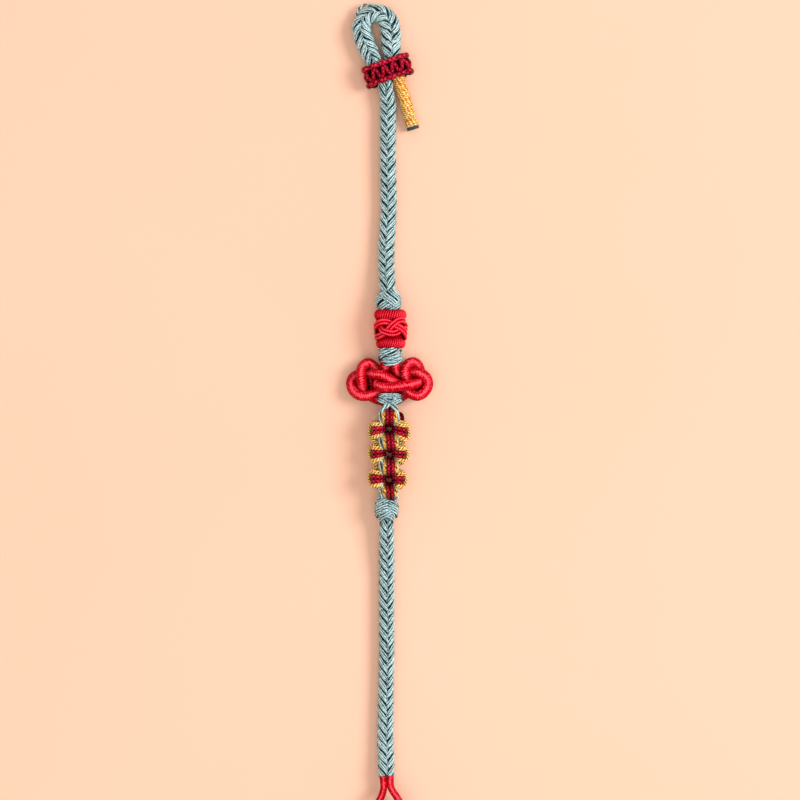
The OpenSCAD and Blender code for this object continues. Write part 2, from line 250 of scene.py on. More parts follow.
# %% Lay the paper floor
FLOOR_SIZE = 3.0
MOTTLE_SCALE = 9.0
TOOTH_SCALE = 900.0
TOOTH_HEIGHT = 0.02
paper, tree, shader = new_material("peach_paper")
place = add(tree, "TexCoord").outputs["Object"]
mottle = add(tree, "TexNoise", {"Vector": place, "Scale": MOTTLE_SCALE, "Detail": 4.0}).outputs["Fac"]
ramp = add(tree, "ValToRGB", {"Fac": mottle})
ramp.color_ramp.elements[0].color = srgb(249, 202, 175)
ramp.color_ramp.elements[1].color = srgb(252, 208, 182)
tree.links.new(ramp.outputs["Color"], shader.inputs["Base Color"])
tooth = add(tree, "TexNoise", {"Vector": place, "Scale": TOOTH_SCALE, "Detail": 3.0}).outputs["Fac"]
bump = add(tree, "Bump", {"Height": tooth, "Distance": TOOTH_HEIGHT * MM})
tree.links.new(bump.outputs["Normal"], shader.inputs["Normal"])
shader.inputs["Roughness"].default_value = 0.85
shader.inputs["Specular IOR Level"].default_value = 0.1

bpy.ops.mesh.primitive_plane_add(size=FLOOR_SIZE, location=(0, 0, 0))
floor = bpy.context.object
floor.name = "floor"
floor.data.materials.append(paper)
print("Floor in metres:", FLOOR_SIZE)

# %% [markdown]
# ## Light
# A large soft lamp stands high on the right, so the shadow falls softly to the left. A weak fill
# from above and the warm light of the room keep the gaps between the cords readable.

# %% Set the lights
ROOM_COLOUR = (1.0, 0.86, 0.78, 1)
ROOM_STRENGTH = 0.61


def add_lamp(name, place, size, power):
    """A square soft lamp that points at the middle of the bracelet."""
    bpy.ops.object.light_add(type="AREA", location=place)
    lamp = bpy.context.object
    lamp.name = name
    lamp.data.size = size
    lamp.data.energy = power
    lamp.rotation_euler = (-Vector(place)).to_track_quat("-Z", "Y").to_euler()
    return lamp


key_lamp = add_lamp("key_lamp", place=(1.0, 0.2, 1.05), size=0.6, power=13.4)
fill_lamp = add_lamp("fill_lamp", place=(-0.1, -0.3, 1.1), size=0.9, power=3.5)
world = bpy.data.worlds.new("soft_room")
world.use_nodes = True
room = world.node_tree.nodes["Background"]
room.inputs["Color"].default_value = ROOM_COLOUR
room.inputs["Strength"].default_value = ROOM_STRENGTH
bpy.context.scene.world = world
print("Lamps:", key_lamp.name, fill_lamp.name)

# %% [markdown]
# ## From a route to a cord
# Cord is the one thing that is easier in code than by hand. A few points give its route, a smooth
# curve runs through them, and a ring of vertices is swept along it. The ring is kept from spinning
# by carrying its sideways direction from one ring to the next, or by giving it the way that faces
# out of the surface that the cord lies on.

# %% Helpers for routes
CORD_SPACING = 0.2
NEARLY_UPRIGHT = 0.1


def unit(ways):
    """The same directions at length one."""
    return ways / np.linalg.norm(ways, axis=-1, keepdims=True)


def smooth(route, steps=8):
    """A curve through the points of a route. Further columns, such as a radius, go with it."""
    p = np.array(route, float)
    p = np.vstack([2 * p[0] - p[1], p, 2 * p[-1] - p[-2]])
    t = np.arange(steps)[:, None] / steps
    spans = [
        0.5 * (2 * b + (c - a) * t + (2 * a - 5 * b + 4 * c - d) * t**2 + (3 * b - a - 3 * c + d) * t**3)
        for a, b, c, d in zip(p, p[1:], p[2:], p[3:])
    ]
    return np.vstack(spans + [p[-2:-1]])


def lengths(path):
    """How far along the path each of its points is."""
    steps = np.linalg.norm(np.diff(path[:, :3], axis=0), axis=1)
    return np.concatenate([[0], np.cumsum(steps)])


def evenly(path, spacing=CORD_SPACING):
    """The same path with its points an even distance apart."""
    done = lengths(path)
    count = max(3, round(done[-1] / spacing) + 1)
    at = np.linspace(0, done[-1], count)
    return np.stack([np.interp(at, done, column) for column in path.T], axis=1)


def headings(path, closed=False):
    """The way a path goes at each of its points."""
    if closed:
        return unit(np.roll(path, -1, axis=0) - np.roll(path, 1, axis=0))
    return unit(np.gradient(path, axis=0))


def carried_sides(along):
    """The sideways direction of each ring, carried along the path without twist."""
    start = np.cross(along[0], (0, 0, 1))
    side = unit(start if np.linalg.norm(start) > NEARLY_UPRIGHT else np.array((1.0, 0, 0)))
    sides = []
    for way in along:
        side = unit(side - way * np.dot(side, way))
        sides.append(side)
    return np.array(sides)


# %% [markdown]
# A cord has only as many sides as its thickness needs: six for a fine thread, eight or ten for a
# thicker one. Plies are laid round each other in a screw.

# %% Helpers for cords
THREAD_SIDES = 6
BAND_SIDES = 8
CORD_SIDES = 10
THREE_PLY_REACH = 1.12


def tube(path, radius, sides, ups=None, closed=False, shade=0.0):
    """A round cord as points, four-sided faces, end caps and UVs. ups is the way out of the surface
    that the cord lies on, and shade is how much lighter each of its rings is."""
    path = np.asarray(path, float)[:, :3]
    rings = len(path)
    along = headings(path, closed)
    side = carried_sides(along) if ups is None else unit(np.cross(along, ups))
    up = np.cross(side, along)
    angle = FULL_TURN * np.arange(sides) / sides
    spread = np.cos(angle)[None, :, None] * side[:, None] + np.sin(angle)[None, :, None] * up[:, None]
    points = path[:, None] + np.broadcast_to(radius, rings)[:, None, None] * spread

    spans = rings if closed else rings - 1
    i, k = np.meshgrid(np.arange(spans), np.arange(sides), indexing="ij")
    here, ahead = i * sides, (i + 1) % rings * sides
    beside = (k + 1) % sides
    quads = np.stack([here + k, ahead + k, ahead + beside, here + beside], axis=-1).reshape(-1, 4)
    run = lengths(np.vstack([path, path[:1]]) if closed else path)
    u, v = [k / sides, (k + 1) / sides], [run[i], run[i + 1]]
    corners = [np.stack([u[a], v[b]], axis=-1) for a, b in ((0, 0), (0, 1), (1, 1), (1, 0))]
    caps = [] if closed else [list(range(sides)), [(rings - 1) * sides + n for n in reversed(range(sides))]]
    return {"points": points.reshape(-1, 3), "quads": quads, "caps": caps,
            "uvs": np.stack(corners, axis=2).reshape(-1, 2),
            "shade": np.repeat(np.broadcast_to(shade, rings), sides)}


def side_by_side(path, ups, count, spacing, closed=False):
    """Paths of several threads that lie beside each other on one surface."""
    side = unit(np.cross(headings(path, closed), ups))
    offsets = (np.arange(count) - (count - 1) / 2) * spacing
    return [path + side * offset for offset in offsets]


def twisted(path, plies, ply_radius, pitch, start=0.0):
    """Plies that are laid round each other along a path."""
    path = path[:, :3]
    along = headings(path)
    side = carried_sides(along)
    up = np.cross(side, along)
    reach = ply_radius * (1.0 if plies == 2 else THREE_PLY_REACH)
    tubes = []
    for n in range(plies):
        turn = (FULL_TURN * (lengths(path) / pitch + n / plies) + start)[:, None]
        out = np.cos(turn) * side + np.sin(turn) * up
        tubes.append(tube(path + reach * out, ply_radius, THREAD_SIDES, out))
    return tubes


# %% [markdown]
# All the cords of a piece go into one mesh. Its lists of points and faces are given at once, as that
# is quick even for thousands of rings. The shade is one number a point, which the finish reads: it
# holds each cord's painted light and shade, and it differs a little from cord to cord at random.

# %% Helpers for pieces
SHADE_SPREAD = 0.07
CAP_UV = [0.5, 0.5]


def hand_in(piece, slot, *replaced):
    """Lets a finished piece ride on the bracelet, in place of its CAD nodes; slot is not used."""
    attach(piece, "root")
    if replaced:
        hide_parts(*replaced)
    print(f"{piece.name}: {len(piece.data.polygons)} faces")


def make_piece(name, tubes, material, slot, *replaced):
    """Joins cords into one finished piece."""
    points, faces, caps, uvs, cap_uvs, shades = [], [], [], [], [], []
    chance = random.Random(name)
    first = 0
    for t in tubes:
        points.append(t["points"])
        faces += (t["quads"] + first).tolist()
        caps += [[first + corner for corner in cap] for cap in t["caps"]]
        uvs.append(t["uvs"])
        cap_uvs += [CAP_UV] * sum(len(cap) for cap in t["caps"])
        shades.append(t["shade"] + chance.uniform(-SHADE_SPREAD, SHADE_SPREAD))
        first += len(t["points"])
    mesh = bpy.data.meshes.new(name)
    mesh.from_pydata((np.concatenate(points) * MM).tolist(), [], faces + caps)
    layer = mesh.uv_layers.new(name="UVMap")
    layer.data.foreach_set("uv", np.concatenate(uvs + ([np.array(cap_uvs)] if cap_uvs else [])).ravel())
    mesh.attributes.new("shade", "FLOAT", "POINT").data.foreach_set("value", np.concatenate(shades))
    mesh.polygons.foreach_set("use_smooth", [True] * len(faces) + [False] * len(caps))
    mesh.materials.append(material)
    mesh.update()
    piece = bpy.data.objects.new(name, mesh)
    bpy.context.scene.collection.objects.link(piece)
    hand_in(piece, slot, *replaced)


# %% [markdown]
# ## The round braid
# The bracelet's two long stretches are a round braid of twelve strands, and each strand is three fine
# threads side by side. Six strands climb one way round the axis and six the other way. Each passes
# over three strands and then under three, so the braid has four columns, and every column shows
# strands of one hand only. Two columns side by side make the row of V shapes of the photograph. The
# threads of a strand draw together where it dives, and get darker on its way down. The axis is kept
# high enough for the lowest threads to lie on the paper.

# %% Helper for the braid
NOMINAL_R = 2.0
THREAD_R = 0.225
THREADS_PER_STRAND = 3
STRANDS_EACH_WAY = 6
V_PITCH = 2.55
THREAD_STEP = 0.8
GATHER = 0.5
BRAID_SPACING = 0.28
MIDDLE_SHARE = 0.84
WAVE_SHARE = 0.16
WAVE_SHARPNESS = 2.2
LEAN = 0.04
WANDER = 0.05
WANDER_SPAN = 9.0
COLUMN_TURN = 45
VALLEY_SHADE = 0.95
STRAND_CROWN_LIGHT = 0.13
STRAND_ROUNDING = 0.06


def braid(route, lay):
    """Threads of a round braid along a route of x, y, z and radius. lay is rows of distance and turn."""
    path = evenly(smooth(route), BRAID_SPACING)
    done = lengths(path)
    centre, radius = path[:, :3], path[:, 3]
    centre[:, 2] = np.maximum(centre[:, 2], radius * (1 + THREAD_R / NOMINAL_R))
    along = headings(centre)
    side = carried_sides(along)
    up = np.cross(side, along)
    lay = np.array(lay, float)
    turned = np.radians(np.interp(done, lay[:, 0], lay[:, 1]) + COLUMN_TURN)
    turn_length = STRANDS_EACH_WAY * V_PITCH
    chance = random.Random(len(path))
    threads = []
    for hand in (1, -1):
        for strand in range(STRANDS_EACH_WAY):
            wander = WANDER * np.sin(FULL_TURN * (done / WANDER_SPAN + chance.random()))
            start = strand * FULL_TURN / STRANDS_EACH_WAY
            diving = 1 - np.abs(np.cos(2 * (hand * FULL_TURN * done / turn_length + start)))
            for thread in range(THREADS_PER_STRAND):
                shift = (thread - (THREADS_PER_STRAND - 1) / 2) * THREAD_STEP * (1 - GATHER * diving)
                climb = FULL_TURN * (done + shift) / turn_length
                bare = hand * climb + start
                over = np.tanh(WAVE_SHARPNESS * np.cos(2 * bare)) / np.tanh(WAVE_SHARPNESS)
                angle = bare + hand * LEAN / 2 * np.sin(2 * bare) + wander + turned
                outer = thread != THREADS_PER_STRAND // 2
                reach = radius * (MIDDLE_SHARE + hand * WAVE_SHARE * over - outer * STRAND_ROUNDING)
                out = np.cos(angle)[:, None] * up + np.sin(angle)[:, None] * side
                # Painted shade where the strand runs under; painted light on the middle thread of each
                # strand.
                shade = VALLEY_SHADE * (hand * over - 1) / 2 + STRAND_CROWN_LIGHT * (0.5 - outer)
                threads.append(tube(centre + reach[:, None] * out, THREAD_R * radius / NOMINAL_R,
                                    THREAD_SIDES, out, shade=shade))
    return threads, centre, radius


# %% [markdown]
# The braid's core is hidden, but light would leak between the threads without it, so a plain cord,
# dark with painted shade, fills the middle.

# %% Braid the loop and the lower length
LOOP_ROUTE = [
    (-0.3, 32.7, 4.0, 1.9), (-0.4, 35, 3.8, 2.0), (-0.6, 38, 3.1, 2.0), (-0.7, 42, 2.3, 2.0),
    (-0.5, 47, 2.05, 2.0), (-0.1, 53, 2.05, 2.0), (-0.2, 60, 2.05, 2.0), (-0.3, 67, 2.05, 2.0),
    (-0.3, 74, 2.05, 2.0), (-0.2, 79, 2.3, 2.0), (-0.6, 82.5, 3.0, 1.85), (-1.1, 85, 3.25, 1.75),
    (-2.4, 87.6, 3.25, 1.75), (-3.8, 90.3, 3.2, 2.0), (-5.0, 93, 2.8, 2.3), (-6.2, 95.8, 2.5, 2.35),
    (-6.9, 98.6, 2.4, 2.3), (-6.2, 100.9, 2.4, 2.1), (-4.5, 102.2, 2.4, 2.1), (-2.4, 102.4, 2.4, 2.25),
    (-0.5, 101.1, 2.4, 2.4), (0.35, 98.6, 2.5, 2.5), (0.5, 95.8, 2.6, 2.45), (0.6, 93, 3.0, 2.2),
    (0.8, 91, 3.25, 1.85), (1.4, 88.6, 3.25, 1.7), (2.1, 86.8, 3.2, 1.2), (2.7, 85.1, 3.0, 1.1),
]
LOWER_ROUTE = [
    (-0.6, -23.3, 4.2, 1.65), (-0.6, -28, 3.6, 1.85), (-0.6, -33, 2.8, 1.9), (-0.6, -38, 2.15, 1.9),
    (-0.6, -43, 1.95, 1.9), (-0.6, -50, 1.9, 1.9), (-0.6, -57, 1.9, 1.9), (-0.7, -64, 1.9, 1.9),
    (-0.8, -71, 1.95, 1.95), (-0.9, -78, 2.1, 2.0), (-0.8, -83, 2.5, 2.05), (-0.65, -88.2, 3.4, 1.9),
]
LOOP_LAY = [(0, -5), (50, -5), (58, 88), (100, 88)]
LOWER_LAY = [(0, 80), (70, 80)]
CORE_SHARE = 0.55

for name, route, lay in (("loop_braid", LOOP_ROUTE, LOOP_LAY), ("lower_braid", LOWER_ROUTE, LOWER_LAY)):
    threads, centre, radius = braid(route, lay)
    make_piece(name + "_threads", threads, TEAL, "teal_cord", name)
    make_piece(name + "_core", [tube(centre, radius * CORE_SHARE, BAND_SIDES)], TEAL_SHADE, "teal_cord")
    print(name, "is", round(lengths(centre)[-1], 1), "mm long")

# %% [markdown]
# At the top of the loop one strand has worked loose and stands off the braid in a small arc.

# %% Lay the loose strand
LOOSE_STRAND = [(-7.4, 98.9, 3.8), (-8.0, 100.6, 3.2), (-8.0, 102.3, 2.6), (-7.4, 103.7, 2.5),
                (-6.4, 104.45, 2.5), (-5.3, 104.6, 2.6), (-4.1, 104.3, 3.0), (-2.8, 103.5, 3.4)]
LOOSE_PLY_R = 0.21
LOOSE_PITCH = 3.5
loose_plies = twisted(evenly(smooth(LOOSE_STRAND)), 2, LOOSE_PLY_R, LOOSE_PITCH)
make_piece("loop_loose_strand", loose_plies, TEAL, "teal_cord")

# %% [markdown]
# ## The large red knot
# One thick satin cord makes the whole knot: it comes out of the teal knot above it, turns through
# five loops and goes back in beside its start. The route has the height of every crossing, so the
# cord passes over and under itself without touching. Four short lengths, a little thinner and dark
# with painted shade, lie deep between the loops, where the lower layer of the knot shows through.

# %% Lay the red cord
LONG_SPACING = 0.3
RED_CORD_R = 1.27
RED_CORD_SIDES = 20
CLOUD_ROUTE = [
    (-0.9, 16.2, 4.2), (-0.9, 15, 4.1), (-1, 13.9, 3.3), (-1.7, 13.2, 2.1), (-2.8, 13.3, 1.4),
    (-3.7, 14, 1.6), (-4.6, 14.8, 2.3), (-5.6, 14.9, 3.2), (-6.7, 13.9, 4.1), (-7, 12.3, 4.7),
    (-6.9, 10.8, 4.6), (-6.7, 9.4, 3.4), (-6.2, 8.2, 2), (-5.2, 7.1, 1.25),
    (-3.6, 6.2, 1.25), (-1.4, 5.6, 1.25), (1.4, 5.7, 1.25), (3.4, 6.8, 1.25), (4.9, 8.1, 1.25),
    (5.3, 9.3, 1.6), (4.8, 10.4, 3),
    (4.2, 11.7, 4.1), (4.1, 13.4, 4.3), (4.9, 14.8, 3.7), (6.2, 15.2, 2.8), (7.3, 14.3, 1.8),
    (7.8, 12.8, 1.25), (7.7, 11.3, 1.7),
    (7.2, 10.2, 3.4), (6.2, 9.8, 5.2), (4.4, 9.4, 6.4), (0.9, 8.95, 6.4), (-1.4, 9, 5.9),
    (-2.7, 9.4, 4.9), (-2.8, 10.1, 3.5), (-1.9, 10.7, 2.2), (-0.6, 10.8, 1.4), (0.1, 9.7, 1.25),
    (-0.5, 8.5, 1.3), (-1.9, 8.1, 2.1),
    (-3.4, 7.5, 3.5), (-5, 6.9, 4.4), (-7, 6.8, 4.3), (-8.8, 7.9, 3.4), (-9.5, 9.8, 2.4),
    (-8.9, 11.4, 1.5), (-7.2, 12.2, 1.3), (-5.3, 12.3, 2.3),
    (-3.7, 12.2, 4.2), (-1.9, 11.9, 5.2), (-0.3, 11.3, 4.8), (1.1, 10.3, 4), (2.8, 9.4, 3.7),
    (4.2, 8.3, 3.9), (5.6, 7.2, 4.2), (7.3, 6.8, 4),
    (8.9, 7.8, 3.4), (9.8, 9.6, 3.1), (9.3, 11.4, 3.8), (7.8, 12.5, 4.3), (6.3, 12.7, 3.3),
    (5.2, 12.7, 2), (4, 12.5, 1.25), (2.8, 12.2, 1.7),
    (2, 12.9, 3.1), (1.6, 14.5, 4.2), (1.6, 16.2, 4.3),
]
DEEP_CORDS = [
    [(-5.0, 12.0, 1.2), (-4.6, 10.6, 1.1), (-4.5, 9.2, 1.1), (-4.2, 7.8, 1.2)],
    [(0.3, 14.6, 1.6), (0.35, 13.2, 1.3), (0.2, 11.9, 1.2)],
    [(7.7, 10.9, 1.2), (7.7, 9.7, 1.1), (7.1, 8.6, 1.1), (6.2, 8.0, 1.1)],
    [(-8.0, 11.0, 1.1), (-8.2, 9.8, 1.1), (-7.8, 8.7, 1.1)],
]
DEEP_CORD_R = 1.05
DEEP_CORD_SIDES = 16
DEEP_SHADE = -0.42


def laid_flat(route, radius, sides, shade=0.0):
    """A cord whose UV map starts at its side, so that its painted light and highlight face up."""
    path = evenly(smooth(route), LONG_SPACING)
    return path, tube(path, radius, sides, np.tile((0.0, 0.0, 1.0), (len(path), 1)), shade=shade)


cloud_path, cloud_cord = laid_flat(CLOUD_ROUTE, RED_CORD_R, RED_CORD_SIDES)
deep_cords = [laid_flat(route, DEEP_CORD_R, DEEP_CORD_SIDES, DEEP_SHADE)[1] for route in DEEP_CORDS]
make_piece("cloud_knot_cord", [cloud_cord] + deep_cords, RED, "red_cord", "cloud_knot")
print("Red cord of the large knot:", round(lengths(cloud_path)[-1], 1), "mm")

# %% [markdown]
# ## Knots on a round body
# The teal knots and the barrel are cords that wind over a round body. Their paths are easiest to
# draw as rows of angle round the bracelet, place along it and lift above the body: 0 degrees faces
# the camera and 90 degrees is the right side. A copy half a turn round finishes the back.

# %% Helpers for wound paths
WOUND_SPACING = 0.22
BAND_THREAD_R = 0.285
BAND_THREAD_STEP = 0.6
BAND_SHADE = -0.16
# Painted shade at both ends of a band, where it goes in under others.
TUCKED_DEPTH = 0.4
TUCKED_SHARE = 0.18


def wound(rows, body, centre, turn=0.0, closed=False):
    """Points and outward ways of a path round a body, from rows of angle, Y and lift."""
    table = np.array(body, float)
    curve = smooth(rows)
    angle = np.radians(curve[:, 0] + turn)
    radius = np.interp(curve[:, 1], table[:, 0], table[:, 1]) + curve[:, 2]
    out = np.stack([np.sin(angle), np.zeros(len(angle)), np.cos(angle)], axis=1)
    points = out * radius[:, None] + np.array([centre[0], 0, centre[1]])
    points[:, 1] = curve[:, 1]
    path = evenly(np.hstack([points, out]), WOUND_SPACING)
    path = path[:-1] if closed else path
    return path[:, :3], unit(path[:, 3:])


def band(path, out, threads, step, radius):
    """Threads side by side, with painted shade at both ends, where the band goes in under others."""
    at = np.linspace(0, 1, len(path))
    tucked = 1 - np.clip(np.minimum(at, 1 - at) / TUCKED_SHARE, 0, 1)
    shade = BAND_SHADE - TUCKED_DEPTH * tucked
    return [tube(p, radius, BAND_SIDES, out, shade=shade) for p in side_by_side(path, out, threads, step)]


def doubled(path, out, radius, press):
    """A closed path laid with two cords side by side, which press into each other a little."""
    return [tube(p, radius, CORD_SIDES, out, closed=True)
            for p in side_by_side(path, out, 2, 2 * radius - press, closed=True)]


# %% [markdown]
# A rounded knot has a filling, dark with painted shade, so that no light leaks between its bands. It
# starts as a sphere at the origin, and its size and place are then applied to its mesh.

# %% Helpers for a knot and its filling
def core_ball(name, place, size, material, slot):
    """A rounded filling inside a knot, from a sphere that is scaled and has its mesh moved into place."""
    bpy.ops.object.select_all(action="DESELECT")
    bpy.ops.mesh.primitive_uv_sphere_add(segments=24, ring_count=16, radius=1)
    ball = bpy.context.object
    ball.name = ball.data.name = name
    ball.location = Vector(place) * MM
    ball.scale = Vector(size) * MM
    bpy.ops.object.transform_apply(location=True, rotation=True, scale=True)
    bpy.ops.object.shade_smooth()
    ball.data.materials.append(material)
    hand_in(ball, slot)


def tie_knot(name, rows_of_bands, body, centre, core_y, core_size, threads=3):
    """A teal knot of bands that go round a body, each of them made again half a turn round, and its
    filling, dark with painted shade."""
    tubes = []
    for rows in rows_of_bands:
        for turn in (0, 180):
            path, out = wound(rows, body, centre, turn)
            tubes += band(path, out, threads, BAND_THREAD_STEP, BAND_THREAD_R)
    make_piece(name + "_bands", tubes, TEAL, "teal_cord", name)
    core_ball(name + "_core", (centre[0], core_y, centre[1]), core_size, TEAL_SHADE, "teal_cord")


# %% [markdown]
# ## The upper teal knot
# A wide band of three threads runs down to the right across its front, two bands come out below it
# to the left and right, and a loop bulges on each side.

# %% Tie the upper knot
UPPER_BODY = [(28.0, 2.55), (28.7, 2.7), (29.6, 2.85), (30.6, 2.75), (31.6, 2.4), (32.7, 1.9), (33.8, 1.4)]
UPPER_CENTRE = (-0.1, 4.1)
UPPER_BANDS = [
    [(-60, 33.2, -0.5), (-38, 32.4, 0.1), (-12, 31.4, 0.35), (14, 30.4, 0.35), (34, 29.6, 0.15),
     (52, 29.0, -0.5)],
    [(16, 30.4, -0.4), (-4, 30.0, -0.05), (-24, 29.4, 0.15), (-42, 28.7, 0.1), (-55, 27.9, -0.2)],
    [(10, 33.4, -0.3), (34, 32.5, 0.1), (58, 31.5, 0.25), (76, 30.4, 0.2), (88, 29.2, 0.0), (95, 28, -0.3)],
    [(88, 30.9, -0.3), (62, 29.9, 0.1), (38, 29.1, 0.1), (12, 28.4, 0.05), (-8, 28.0, -0.2)],
    [(-20, 32.4, -0.2), (-48, 31.5, 0.15), (-72, 30.6, 0.2), (-84, 29.5, 0.1), (-88, 28.2, -0.3)],
]
tie_knot("upper_knot", UPPER_BANDS, UPPER_BODY, UPPER_CENTRE, core_y=30.2, core_size=(2.45, 3.4, 2.45))

# %% [markdown]
# ## The red barrel
# Two wound rings hold a woven band between them. Each ring is a thin thread wrapped round and round
# a core, so it shows fine ribs, which lean a little, as the thread moves on while it goes round.

# %% Helpers for the rings
BARREL_CENTRE = (0.43, 4.45)
RING_CORD_R = 1.0
RING_THREAD_R = 0.3
RING_THREAD_SIDES = 5
RING_TURNS = 40
RING_STEPS = 18
RING_LEAN = 0.09
RING_CROWN_SHADE = 0.06
RING_EDGE_SHADE = 0.34
RING_EDGE_POWER = 1.5


def wound_ring(centre_x, centre_y, radius, cord_radius, half_length):
    """A thin thread wrapped round and round a ring whose axis runs along the bracelet."""
    count = RING_TURNS * RING_STEPS
    turn = FULL_TURN * np.arange(count) / count
    wrap = turn * RING_TURNS
    reach = radius - cord_radius + cord_radius * np.cos(wrap)
    at = turn + RING_LEAN * np.sin(wrap)
    points = np.stack([centre_x + reach * np.sin(at), centre_y + half_length * np.sin(wrap),
                       BARREL_CENTRE[1] + reach * np.cos(at)], axis=1)
    out = np.stack([np.cos(wrap) * np.sin(at), np.sin(wrap), np.cos(wrap) * np.cos(at)], axis=1)
    # Painted light and shade: the thread is lighter round the ring's middle and darker towards both edges.
    shade = RING_CROWN_SHADE - RING_EDGE_SHADE * np.abs(np.sin(wrap)) ** RING_EDGE_POWER
    return tube(points, RING_THREAD_R, RING_THREAD_SIDES, out, closed=True, shade=shade)


def ring_core(name, centre_x, centre_y, radius, cord_radius, half_length):
    """The core that the thread is wrapped round, from a torus that is stretched along the bracelet."""
    bpy.ops.object.select_all(action="DESELECT")
    bpy.ops.mesh.primitive_torus_add(major_radius=(radius - cord_radius) * MM,
                                     minor_radius=cord_radius * MM, major_segments=48,
                                     minor_segments=12, rotation=(np.pi / 2, 0, 0))
    core = bpy.context.object
    core.name = core.data.name = name
    core.location = Vector((centre_x, centre_y, BARREL_CENTRE[1])) * MM
    core.scale = (1, 1, half_length / cord_radius)
    bpy.ops.object.transform_apply(location=True, rotation=True, scale=True)
    bpy.ops.object.shade_smooth()
    core.data.materials.append(RED_SHADE)
    hand_in(core, "red_cord")


# %% [markdown]
# Each ring's row gives its middle, its outer radius and half its length. The core is a little smaller
# than the winding, which covers it, and it is dark with painted shade that shows between the ribs.

# %% Wind the rings
RINGS = [("barrel_top_ring", 0.33, 26.97, 4.1, 1.1), ("barrel_bottom_ring", 0.45, 19.87, 3.75, 1.0)]
CORE_INSET = 0.05
for name, x, y, outer_radius, half_length in RINGS:
    radius = outer_radius - RING_THREAD_R
    thread = wound_ring(x, y, radius, RING_CORD_R, half_length)
    make_piece(name + "_thread", [thread], RED_FINE, "red_cord", name)
    ring_core(name + "_core", x, y, radius, RING_CORD_R - CORE_INSET, half_length - CORE_INSET)

# %% [markdown]
# The band between the rings is a ring weave of a doubled cord: one closed path that goes three times
# round the bracelet, over and under itself in turn. It was pulled tight by hand, so its three passes
# differ, and each is laid once across the front and once across the back.

# %% Weave the band
WEAVE_CORD_R = 0.43
WEAVE_PRESS = 0.02
WEAVE_CORE = (BARREL_CENTRE[0], 23.4, BARREL_CENTRE[1])
WEAVE_BODY = [(20, 3.62), (27, 3.62)]
WEAVE_PASSES = [
    [(-90, 23.6, 0.15), (-66, 24.2, 0.42), (-45, 24.95, 0.4), (-24, 25.25, 0.05), (-7, 25.05, -0.25),
     (8, 24.6, -0.42), (22, 24.2, -0.1), (39, 23.6, 0.3), (55, 22.8, 0.42), (68, 22.1, 0.3)],
    [(-90, 21.5, 0.0), (-58, 21.5, 0.05), (-40, 21.9, -0.1), (-20, 22.6, -0.42), (-5, 23.5, 0.05),
     (5, 24.3, 0.38), (17, 25.0, 0.38), (30, 25.5, 0.0), (60, 25.7, -0.3)],
    [(-90, 25.2, -0.3), (-68, 24.7, -0.42), (-50, 23.9, -0.4), (-34, 23.1, 0.0), (-20, 22.7, 0.38),
     (-3, 22.35, 0.42), (10, 22.3, 0.35), (26, 22.6, 0.0), (46, 23.1, -0.42), (68, 23.4, -0.2)],
]
WEAVE_ROUNDS = len(WEAVE_PASSES)
weave_rows = []
for half_turn in range(2 * WEAVE_ROUNDS):
    for angle, y, lift in WEAVE_PASSES[half_turn % WEAVE_ROUNDS]:
        weave_rows.append((angle + 180 * half_turn, y, lift))
first_angle, first_y, first_lift = weave_rows[0]
weave_rows.append((first_angle + 360 * WEAVE_ROUNDS, first_y, first_lift))
path, out = wound(weave_rows, WEAVE_BODY, BARREL_CENTRE, closed=True)
make_piece("barrel_weave_cords", doubled(path, out, WEAVE_CORD_R, WEAVE_PRESS), RED_FINE, "red_cord",
           "barrel_weave")
# Painted shade: the filling under the weave is dark.
core_ball("barrel_weave_core", WEAVE_CORE, size=(3.3, 6.5, 3.3), material=RED_SHADE, slot="red_cord")

# %% [markdown]
# ## The middle teal knot
# A small ball of crescents, each of which rises to the right and tucks under the one above it.

# %% Tie the middle knot
MIDDLE_BODY = [(14.6, 1.75), (15.2, 2.25), (16.2, 2.75), (17.2, 2.85), (18.2, 2.55), (19.2, 2.0)]
MIDDLE_CENTRE = (0.33, 4.4)
MIDDLE_BANDS = [
    [(-84, 16.6, 0.0), (-55, 17.7, 0.1), (-22, 18.6, 0.05), (15, 19.1, -0.1), (45, 19.2, -0.4)],
    [(-66, 16.2, 0.0), (-40, 17.0, 0.25), (-8, 17.9, 0.35), (25, 18.6, 0.25), (62, 19.0, -0.2)],
    [(-30, 16.7, -0.4), (-8, 16.5, 0.1), (14, 16.8, 0.3), (36, 17.5, 0.25), (62, 18.4, -0.1)],
    [(-70, 15.7, -0.2), (-35, 15.7, 0.0), (0, 15.7, 0.05), (32, 16.2, 0.1), (60, 17.0, 0.1),
     (88, 17.9, 0.0)],
    [(-60, 15.0, -0.3), (-20, 14.8, 0.0), (20, 14.9, 0.05), (55, 15.5, 0.05), (90, 16.5, 0.0),
     (110, 17.2, -0.2)],
]
tie_knot("middle_knot", MIDDLE_BANDS, MIDDLE_BODY, MIDDLE_CENTRE, core_y=17.0,
         core_size=(2.55, 3.0, 2.55), threads=2)

# %% [markdown]
# ## The lower teal knot and the four strands
# This knot lies across the bracelet under the red bar. Its threads wind round a short roll, and
# below it they part into four strands, which run down the corners of the flower column.

# %% Tie the lower knot
ROLL_CENTRE = np.array((0.25, 6.0, 5.5))
ROLL_OUTLINE = [(-2.9, 0.5), (-2.4, 1.0), (-1.3, 1.3), (0, 1.4), (1.3, 1.3), (2.4, 1.0), (2.9, 0.5)]
ROLL_BANDS = [
    [(-2.8, 60), (-1.6, 38), (0, 30), (1.6, 36), (2.9, 58)],
    [(-2.8, 10), (-1.5, -22), (0.1, -38), (1.5, -24), (2.9, 14)],
]
ROLL_THREAD_R = 0.27
ROLL_THREAD_STEP = 0.55


